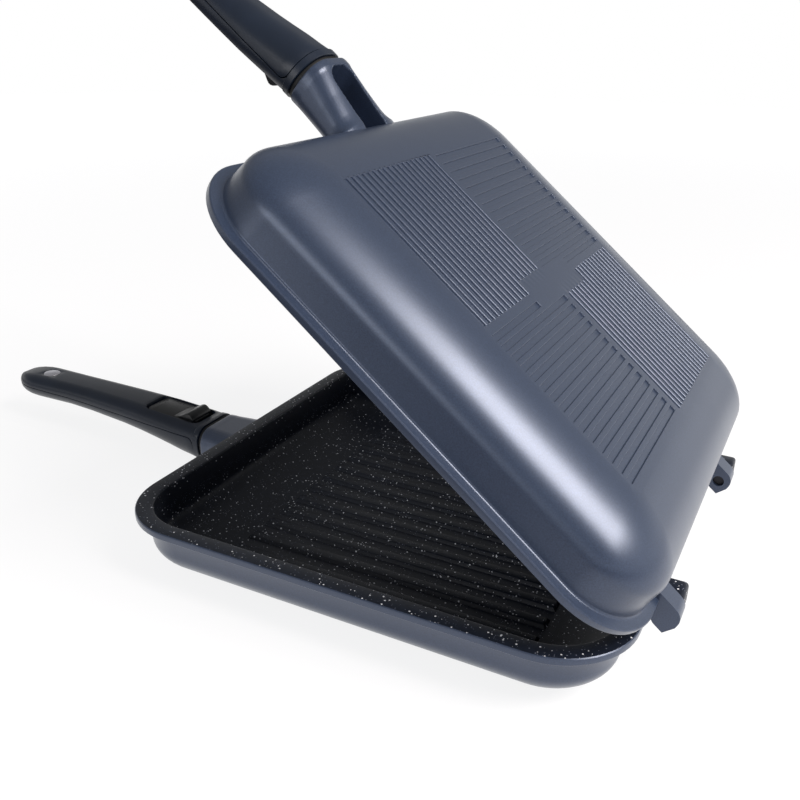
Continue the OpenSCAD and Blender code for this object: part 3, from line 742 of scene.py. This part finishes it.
# %% [markdown]
# ## Cooking ridges
# The lower pan's floor has twelve low ridges, so that meat browns in stripes. They are the base's
# grooves the other way round: strips of the floor, pushed up and rounded along the top.

# %% Ridges on a copy for the lower pan
ridge_count = 12
ridge_pitch, ridge_w, ridge_h, ridge_half = 15.8 * MM, 8.5 * MM, 2 * MM, 87.5 * MM
ridge_side, ridge_round = 1.5 * MM, 0.6 * MM
ridge_middles = [(k - (ridge_count - 1) / 2) * ridge_pitch for k in range(ridge_count)]
lower = copy_of(casting, "lower_pan_casting")
open_edit(lower)
floor_flat = inside[-1][1] * MM
bisect_flat(floor_flat, 0, (-ridge_half, ridge_half), *everywhere)
for middle in ridge_middles:
    bisect_flat(floor_flat, 1, (middle - ridge_w / 2, middle + ridge_w / 2),
                (-ridge_half, -half), (ridge_half, half))


def on_ridge(middle, face):
    """Whether a face is the strip of a ridge."""
    return (flat_faces(floor_flat, (-ridge_half, -half), (ridge_half, half))(middle, face)
            and any(abs(middle.y - m) < 0.3 * ridge_w for m in ridge_middles))


print("ridges", select("FACE", on_ridge))
bpy.ops.mesh.inset(thickness=ridge_side, depth=ridge_h, use_individual=True)
print("ridge edges", select("EDGE", lambda middle, edge: (
    abs(middle.z - floor_flat - ridge_h) < hair
    and len(edge.link_faces) == 2 and edge.calc_face_angle(0) > 0.3)))
bpy.ops.mesh.bevel(offset=ridge_round, segments=2, affect="EDGES")
lower = close_edit("lower_pan_casting")
print("lower casting", len(lower.data.polygons), "faces")

# %% [markdown]
# ## Hinge lugs
# The painted lugs belong to the upper pan and the coated ones to the lower pan. Each is a flat
# outline in the hinge's side view, traced point by point with the extrude key, filled, and pushed
# to the lug's width. The upper lugs have a square corner that stops the lid when it is wide open.

# %% Trace an outline, fill it and push it to a width
def trace(points):
    """Draws an outline point by point, as with the extrude key, and fills it."""
    new_primitive(bpy.ops.mesh.primitive_plane_add, size=1 * MM, location=points[0])
    bpy.ops.object.mode_set(mode="EDIT")
    bpy.ops.mesh.select_mode(type="VERT")
    bpy.ops.mesh.select_all(action="SELECT")
    bpy.ops.mesh.merge(type="CENTER")
    for here, there in zip(points, points[1:]):
        bpy.ops.mesh.extrude_vertices_move(
            TRANSFORM_OT_translate={"value": Vector(there) - Vector(here)})
    bpy.ops.mesh.select_all(action="SELECT")
    bpy.ops.mesh.edge_face_add()


def hinge_outline(points, y):
    """Points given in millimetres round the hinge axis, as places in metres."""
    return [Vector((hinge_x + x * MM, y, closing_z + z * MM)) for x, z in points]


def arc(x, z, radius, start, end, steps=6):
    """Points in millimetres along an arc in the hinge's side view, by angles in degrees."""
    angles = [math.radians(start + (end - start) * k / steps) for k in range(steps + 1)]
    return [(x + radius * math.cos(a), z + radius * math.sin(a)) for a in angles]


def lug(name, points, y, width, material, bore):
    """One lug with rounded edges and a pin bore from bore[0] to bore[1]."""
    trace(hinge_outline(points, y))
    bpy.ops.mesh.extrude_region_move(TRANSFORM_OT_translate={"value": (0, width, 0)})
    face_out()
    piece = close_edit(name)
    cut(piece, new_primitive(bpy.ops.mesh.primitive_cylinder_add, vertices=32, radius=bore_radius,
                             depth=bore[1] - bore[0], rotation=(math.pi / 2, 0, 0),
                             location=(hinge_x, (bore[0] + bore[1]) / 2, closing_z)))
    round_edges(piece, 0.45 * MM, degrees=40)
    piece.data.materials.append(material)
    return piece


# %% Two lugs for each pan
lug_w = 11.8 * MM
lug_pitch = 12.2 * MM                            # from an upper lug to its neighbour below
bore_radius = 3.06 * MM
blind, past = 1.6 * MM, 1 * MM                   # wall at a blind end, and reach past an open one
upper_lug_ys = (-84 * MM, 60 * MM)
upper_outline = ([(-16, -0.6), (-16, -7.4)] + arc(0, -1, 6.1, -90, -10)
                 + [(6.4, 0), (5, 6.4), (0, 6.4)] + arc(0, 0, 6.4, 100, 180, 5))
lower_outline = ([(-16, -0.6), (-16, -13), (-7.4, -11), (3, -5.57)]
                 + arc(3.57, -3.57, 2, -80, 0, 4) + arc(3.57, 3.57, 2, 0, 90, 4)
                 + arc(-3.57, 3.57, 2, 90, 180, 4) + [(-5.57, -0.6)])
# the near upper lug and both lower lugs are blind at one end, and the far upper lug is open
upper_lugs = [lug("upper_lug", upper_outline, y, lug_w, painted,
                  (y + blind if y < 0 else y - past, y + lug_w + past)) for y in upper_lug_ys]
lower_lugs = [lug("lower_lug", lower_outline, y + lug_pitch, lug_w, coating,
                  (y + lug_pitch - past, y + lug_pitch + lug_w - blind)) for y in upper_lug_ys]
print(len(upper_lugs + lower_lugs), "lugs,", [round(1000 * c, 1) for c in upper_lugs[0].dimensions])

# %% [markdown]
# ## Two pans
# Neck and lugs are cast in one with the pan, so they are joined into it. The upper pan's smooth
# shading is weighted by the area of the faces, which keeps the wide flats of its base flat beside
# the small faces of the lips. On the lower pan the same would flatten the look of the ridges.

# %% Put the two pans together
upper = join([casting, copy_of(neck, "neck_copy")] + upper_lugs, "upper_pan_casting")
upper.data.transform(to_upper)
upper.data.flip_normals()
lower = join([lower, neck] + lower_lugs, "lower_pan_casting")
for pan, body, node in ((lower, "lower_pan", "bottom_pan"), (upper, "upper_pan", "top_pan")):
    smooth(pan)
    if pan == upper:
        apply_modifier(pan, "WEIGHTED_NORMAL", keep_sharp=True)
    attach(pan, body)
    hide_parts(node)
    print(pan.name, len(pan.data.polygons), "faces")

# %% [markdown]
# ## The handles
# A handle is two mouldings: a long shell outside and a cover on the inner face that also forms
# the collar. Both come from one form, extruded station by station from the collar to the tip, so
# that they stay flush where they meet.

# %% The whole handle as one form
ring_x = 2.8 * MM                                # where the plastic begins, from the neck's end
handle_len = 171.6 * MM
handle_w = 38 * MM
tip_in, tip_out, ring_in, ring_out = (d * MM for d in (1.8, 19, 6.8, 34.0))
# share of the length, share of the width, and shares from the tip's depths to the ring's depths
stations = [
    (0.000, 1.02, 0.95, 1.03), (0.002, 1.04, 0.94, 1.05), (0.022, 1.04, 0.94, 1.05),
    (0.026, 1.00, 1.00, 1.00),
    (0.060, 0.985, 0.87, 0.92), (0.108, 0.97, 0.74, 0.83), (0.165, 0.945, 0.58, 0.69),
    (0.225, 0.92, 0.42, 0.55), (0.310, 0.875, 0.29, 0.38), (0.400, 0.83, 0.18, 0.24),
    (0.575, 0.76, 0.04, 0.07), (0.690, 0.74, 0.00, 0.00), (0.790, 0.765, 0.00, 0.00)]
# the end is a paddle with a half round outline, which closes towards its middle. It stops short
# of a quarter turn, because a section can't have the width zero
for degrees in (0, 15, 30, 43, 55, 65, 74, 81, 87):
    turn = math.radians(degrees)
    closing = 1 - math.cos(turn) ** 0.5
    stations.append((0.870 + 0.130 * math.sin(turn), 0.785 * math.cos(turn),
                     1.7 * closing, -0.55 * closing))


def station(share, w, d_in, d_out):
    """A station's place along X, its width and its inner and outer depths, in metres."""
    return (-neck_end - ring_x - share * handle_len, w * handle_w,
            tip_in + (ring_in - tip_in) * d_in, tip_out + (ring_out - tip_out) * d_out)


bar_stations = [station(*row) for row in stations]
d_section(*bar_stations[0])
run_through(bar_stations)
handle_form = close_edit("handle_form")
print("handle", [round(1000 * c, 1) for c in handle_form.dimensions])

# %% [markdown]
# ## Shell and cover
# The seam between the two mouldings is a real gap of half a millimetre, dark because it is deep.
# One block, drawn in the side view, gives both: the shell is what lies inside it, and the cover
# is what lies outside it once it has grown by the gap.

# %% Split the form along the seam
seam_ring, seam_tip = 14 * MM, 8.2 * MM          # the seam's depth at the collar and at the tip
seam_corner = 4.5 * MM
half_gap = 0.25 * MM
collar_x = 7.2 * MM


def shell_room(gap):
    """The space below the seam and beyond the collar, grown by a gap."""
    aside, beyond, below = 25 * MM, 190 * MM, 45 * MM
    near_x, far_x = -neck_end - collar_x + gap, -neck_end - beyond
    points = [Vector((near_x, -aside, closing_z - seam_ring + gap)),
              Vector((far_x, -aside, closing_z - seam_tip + gap)),
              Vector((far_x, -aside, closing_z - below)),
              Vector((near_x, -aside, closing_z - below))]
    trace(points)
    select("VERT", lambda middle, vert: (middle - points[0]).length < 10 * hair)
    bpy.ops.mesh.bevel(affect="VERTICES", offset=seam_corner, segments=6, profile=0.5)
    bpy.ops.mesh.select_all(action="SELECT")
    bpy.ops.mesh.extrude_region_move(TRANSFORM_OT_translate={"value": (0, 2 * aside, 0)})
    face_out()
    return close_edit("shell_room")


handle_shell = copy_of(handle_form, "handle_shell")
cut(handle_shell, shell_room(-half_gap), "INTERSECT")
handle_cover = handle_form
handle_cover.name = "handle_cover"
cut(handle_cover, shell_room(half_gap))
print("shell", len(handle_shell.data.polygons), "cover", len(handle_cover.data.polygons), "faces")

# %% Recesses for the slider and the magnet, and round edges
recess = slot_block(x0=-neck_end - 8.8 * MM, x1=-neck_end - 53.1 * MM, width=23 * MM,
                    corner=5 * MM, z0=closing_z - 9.3 * MM, z1=closing_z + 1 * MM)
cut(handle_cover, recess)
magnet_x = -neck_end - 147.4 * MM
magnet_radius, magnet_gap = 5.7 * MM, 0.1 * MM
cut(handle_cover, new_primitive(bpy.ops.mesh.primitive_cylinder_add, vertices=48,
                                radius=magnet_radius + magnet_gap, depth=6 * MM,
                                location=(magnet_x, 0, closing_z - 2 * MM)))
for piece in (handle_shell, handle_cover):
    round_edges(piece, 0.35 * MM, degrees=50)
    piece.data.materials.append(phenolic)
    smooth(piece, 40)
    print(piece.name, len(piece.data.polygons), "faces")

# %% [markdown]
# ## The gap ring
# A ring of silicone rubber sits between the hot neck and the plastic handle. It has the same D
# section, a little smaller than both, so that it reads as a dark line.

# %% A short D bar
ring_thick = 2.3 * MM
d_section(x=-neck_end - 0.4 * MM, width=37.2 * MM, inner=7.4 * MM, outer=33.6 * MM)
push(-ring_thick)
face_out()
gap_ring = close_edit("gap_ring")
round_edges(gap_ring, 0.5 * MM, degrees=57.3)
gap_ring.data.materials.append(rubber)
smooth(gap_ring)
print(gap_ring.name, [round(1000 * c, 1) for c in gap_ring.dimensions])

# %% [markdown]
# ## The magnet
# The two handles hold each other shut by a round magnet near each tip. It is a plated disc with a
# turned rim, so a cylinder whose top is inset once is enough.

# %% A disc with a raised face
new_primitive(bpy.ops.mesh.primitive_cylinder_add, vertices=48, radius=magnet_radius,
              depth=3 * MM, location=(magnet_x, 0, closing_z - 3.3 * MM))
bpy.ops.object.mode_set(mode="EDIT")
select("FACE", lambda middle, face: face.normal.z > 0.9)
bpy.ops.mesh.inset(thickness=0.4 * MM, depth=0.15 * MM)
magnet = close_edit("magnet")
round_edges(magnet, 0.3 * MM, degrees=57.3)
magnet.data.materials.append(nickel_plate)
smooth(magnet)
print(magnet.name, [round(1000 * c, 1) for c in magnet.dimensions])

# %% [markdown]
# ## The thumb slider
# The slider that frees the handle is a sloping plate in the recess, with a hump for the thumb at
# the end next to the pan. The plate is a block cut by one slanting plane. The hump is drawn in
# the side view, steep towards the pan and long towards the tip, and pushed to its width.

# %% The sloping plate
slider_x0 = -neck_end - 13.1 * MM                # the end next to the pan
plate = slot_block(x0=slider_x0, x1=slider_x0 - 38 * MM, width=22.4 * MM,
                   corner=4.7 * MM, z0=closing_z - 9 * MM, z1=closing_z - 1 * MM)
open_edit(plate)
bpy.ops.mesh.select_all(action="SELECT")
bpy.ops.mesh.bisect(plane_co=(slider_x0, 0, closing_z - 7 * MM), plane_no=(0.068, 0, 1),
                    use_fill=True, clear_outer=True)
plate = close_edit("plate")
round_edges(plate, 0.5 * MM, degrees=57.3)
print(plate.name, [round(1000 * c, 1) for c in plate.dimensions])

# %% The hump
hump_half = 9.5 * MM
# millimetres from the slider's end towards the tip, and below the closing plane
hump_profile = [(0.1, 7.4), (0.4, 5.6), (1.2, 4.2), (2.6, 2.9), (4.0, 2.2), (5.4, 2.2), (7.0, 2.8),
                (9.0, 3.9), (11.0, 4.9), (13.5, 5.7), (17.0, 6.0), (17.0, 7.4)]
trace([Vector((slider_x0 - x * MM, -hump_half, closing_z - z * MM)) for x, z in hump_profile])
bpy.ops.mesh.extrude_region_move(TRANSFORM_OT_translate={"value": (0, 2 * hump_half, 0)})
face_out()
hump = close_edit("hump")
round_edges(hump, 0.9 * MM, degrees=57.3, segments=3)
slider = join([plate, hump], "thumb_slider")
slider.data.materials.append(slider_plastic)
smooth(slider, 45)
print(slider.name, [round(1000 * c, 1) for c in slider.dimensions])

# %% [markdown]
# ## Two of each
# Every piece of the handle is copied once for the upper half. Each one is then tied to the body
# that it moves with and set in for its CAD node.

# %% The lower handle's pieces, and the upper ones mirrored and swung open
handle_pieces = [(handle_shell, "handle_shell", "handle", "handle"),
                 (handle_cover, "handle_cover", "handle", "handle"),
                 (gap_ring, "gap_ring", "handle", "ring"),
                 (magnet, "magnet", "handle", "magnet"),
                 (slider, "thumb_slider", "thumb", "slider")]
for piece, node, body, slot in handle_pieces:
    upper_piece = copy_of(piece, "upper_" + node + "_piece", to_upper)
    piece.name = "lower_" + node + "_piece"
    for side, shown in (("lower_", piece), ("upper_", upper_piece)):
        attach(shown, side + body)
        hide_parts(side + node)
    print(piece.name, "and", upper_piece.name)

# %% [markdown]
# ## What stays of the CAD model
# Pins, seal, tongues, latches, springs and screws are hidden or nearly so. Their CAD shapes are
# good enough to keep, and they only get the finish of the real piece.

# %% Dress the CAD nodes that stay
finishes = {"hinge_pins": blackened_steel, "rim_seal": rubber, "tongue": blackened_steel,
            "latch": spring_steel, "return_spring": spring_steel, "screws": zinc_plated}
for name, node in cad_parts.items():
    finish = finishes.get(name.replace("lower_", "").replace("upper_", ""), phenolic)
    node.data.materials.clear()
    node.data.materials.append(finish)
print("dressed", len(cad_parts), "CAD nodes")

# %% [markdown]
# ## The stage
# A plain pale floor carries the shadow, and a low white wall stands all round it, three metres
# off. The camera sees both as white, as in a catalogue picture, and so does a shiny surface. Only
# in front of the sheet of paper, which lies under the pan and behind it, is the floor a plain
# table for reflections, and that keeps the pan's front walls dark. What the pan gets as light is
# the table's and the paper's real colour.

# %% The floor and the wall round it
wall_height = 0.75                               # metres, as all sizes of the stage
floor = new_primitive(bpy.ops.mesh.primitive_plane_add, size=7, location=(0, 0, -0.0005))
floor.name = "studio_floor"
bpy.ops.object.transform_apply(location=True)
wall = new_primitive(bpy.ops.mesh.primitive_cylinder_add, vertices=96, radius=3,
                     depth=wall_height, end_fill_type="NOTHING",
                     location=(0, 0, wall_height / 2 - 0.0005))
wall.name = "studio_wall"
bpy.ops.object.transform_apply(location=True)
print("floor", [round(c, 2) for c in floor.dimensions],
      "wall", [round(c, 2) for c in wall.dimensions])


# %% Which rays see the white
def rays_in(tree):
    """Two sockets: 1 for the camera's rays, and 1 for rays that a shiny or clear surface sends."""
    rays = add(tree, "ShaderNodeLightPath").outputs
    shiny = add(tree, "ShaderNodeMath", {0: rays["Is Glossy Ray"],
                                         1: rays["Is Transmission Ray"]}, operation="MAXIMUM")
    return rays["Is Camera Ray"], shiny.outputs["Value"]


# %% Matt paper for the floor
paper, shader, tree = new_material("matt_studio_paper")
place = add(tree, "ShaderNodeTexCoord").outputs["Object"]
# 1 on the sheet, a disc behind the pan's middle, and 0 on the table round it
away = add(tree, "ShaderNodeVectorMath", {0: place, 1: (0.05, 0.35, 0)}, operation="DISTANCE")
sheet = add(tree, "ShaderNodeMapRange", {"Value": away.outputs["Value"],
                                         "From Min": 0.55, "From Max": 0.75,
                                         "To Min": 1.0, "To Max": 0.0},
            interpolation_type="SMOOTHSTEP")
board = add(tree, "ShaderNodeMixRGB", {"Fac": sheet.outputs["Result"], "Color1": linear("77777C"),
                                       "Color2": linear("D6D6DA")})
tree.links.new(board.outputs["Color"], shader.inputs["Base Color"])
shader.inputs["Roughness"].default_value = 0.9
shader.inputs["Specular IOR Level"].default_value = 0.2
seen, shiny = rays_in(tree)
shiny = add(tree, "ShaderNodeMath", {0: shiny, 1: sheet.outputs["Result"]}, operation="MULTIPLY")
seen = add(tree, "ShaderNodeMath", {0: seen, 1: shiny.outputs["Value"]}, operation="MAXIMUM")
# the lamp's light falls off with distance, and the white makes up for it
level = add(tree, "ShaderNodeMapRange", {"Value": away.outputs["Value"],
                                         "From Min": 0.3, "From Max": 2.2,
                                         "To Min": 0.83, "To Max": 0.99})
glow = add(tree, "ShaderNodeEmission", {"Color": linear("FFFFFF"),
                                        "Strength": level.outputs["Result"]})
veil = add(tree, "ShaderNodeBsdfDiffuse", {"Color": linear("7A7A7E")})
white_paper = add(tree, "ShaderNodeAddShader", {0: veil.outputs["BSDF"],
                                                1: glow.outputs["Emission"]})
choose = add(tree, "ShaderNodeMixShader", {0: seen.outputs["Value"], 1: shader.outputs["BSDF"],
                                           2: white_paper.outputs["Shader"]})
tree.links.new(choose.outputs["Shader"], tree.nodes["Material Output"].inputs["Surface"])
floor.data.materials.append(paper)
print(paper.name, len(tree.nodes), "nodes")

# %% White card for the wall
card, shader, tree = new_material("white_backdrop_card")
shader.inputs["Base Color"].default_value = linear("D6D6DA")
shader.inputs["Roughness"].default_value = 0.9
seen, shiny = rays_in(tree)
seen = add(tree, "ShaderNodeMath", {0: seen, 1: shiny}, operation="MAXIMUM")
glow = add(tree, "ShaderNodeEmission", {"Color": linear("FFFFFF"), "Strength": 1.0})
choose = add(tree, "ShaderNodeMixShader", {0: seen.outputs["Value"], 1: shader.outputs["BSDF"],
                                           2: glow.outputs["Emission"]})
tree.links.new(choose.outputs["Shader"], tree.nodes["Material Output"].inputs["Surface"])
wall.data.materials.append(card)
print(card.name, len(tree.nodes), "nodes")

# %% [markdown]
# ## Light
# The photograph has one broad warm light high over the hinge, which draws the long highlight on
# the rounded edges, and a weak fill from the front. Two softboxes give both, and the room adds a
# dim even light.

# %% Two softboxes
def softbox(name, toward, distance, size, power, colour="FFFFFF"):
    """An oblong area light that shines on the pan from a direction."""
    data = bpy.data.lights.new(name, "AREA")
    data.shape = "RECTANGLE"
    data.size, data.size_y = size
    data.energy = power
    data.color = linear(colour)[:3]
    lamp = bpy.data.objects.new(name, data)
    bpy.context.collection.objects.link(lamp)
    direction = Vector(toward).normalized()
    lamp.location = camera_target + distance * direction
    lamp.rotation_euler = direction.to_track_quat("Z", "Y").to_euler()
    print(name, power, "W at", tuple(round(c, 2) for c in lamp.location))


softbox("key_softbox", toward=(0.72, -0.06, 0.69), distance=1.3, size=(0.68, 0.68),
        power=23, colour="FFF7EE")
softbox("front_fill", toward=(-0.18, -0.92, 0.33), distance=1.5, size=(0.9, 0.45), power=4)

# %% The room's light, and plain colours in the picture
world = bpy.data.worlds.new("studio")
bpy.context.scene.world = world
world.use_nodes = True
tree = world.node_tree
background = tree.nodes["Background"]
background.inputs["Color"].default_value = (1, 1, 1, 1)
# the camera sees white above the wall too, and the pan gets the room's dim light
rays = add(tree, "ShaderNodeLightPath")
room_light = add(tree, "ShaderNodeMapRange", {"Value": rays.outputs["Is Camera Ray"],
                                              "To Min": 0.3, "To Max": 1.0})
tree.links.new(room_light.outputs["Result"], background.inputs["Strength"])
bpy.context.scene.view_settings.view_transform = "Standard"
print(world.name, len(tree.nodes), "nodes, view transform Standard")
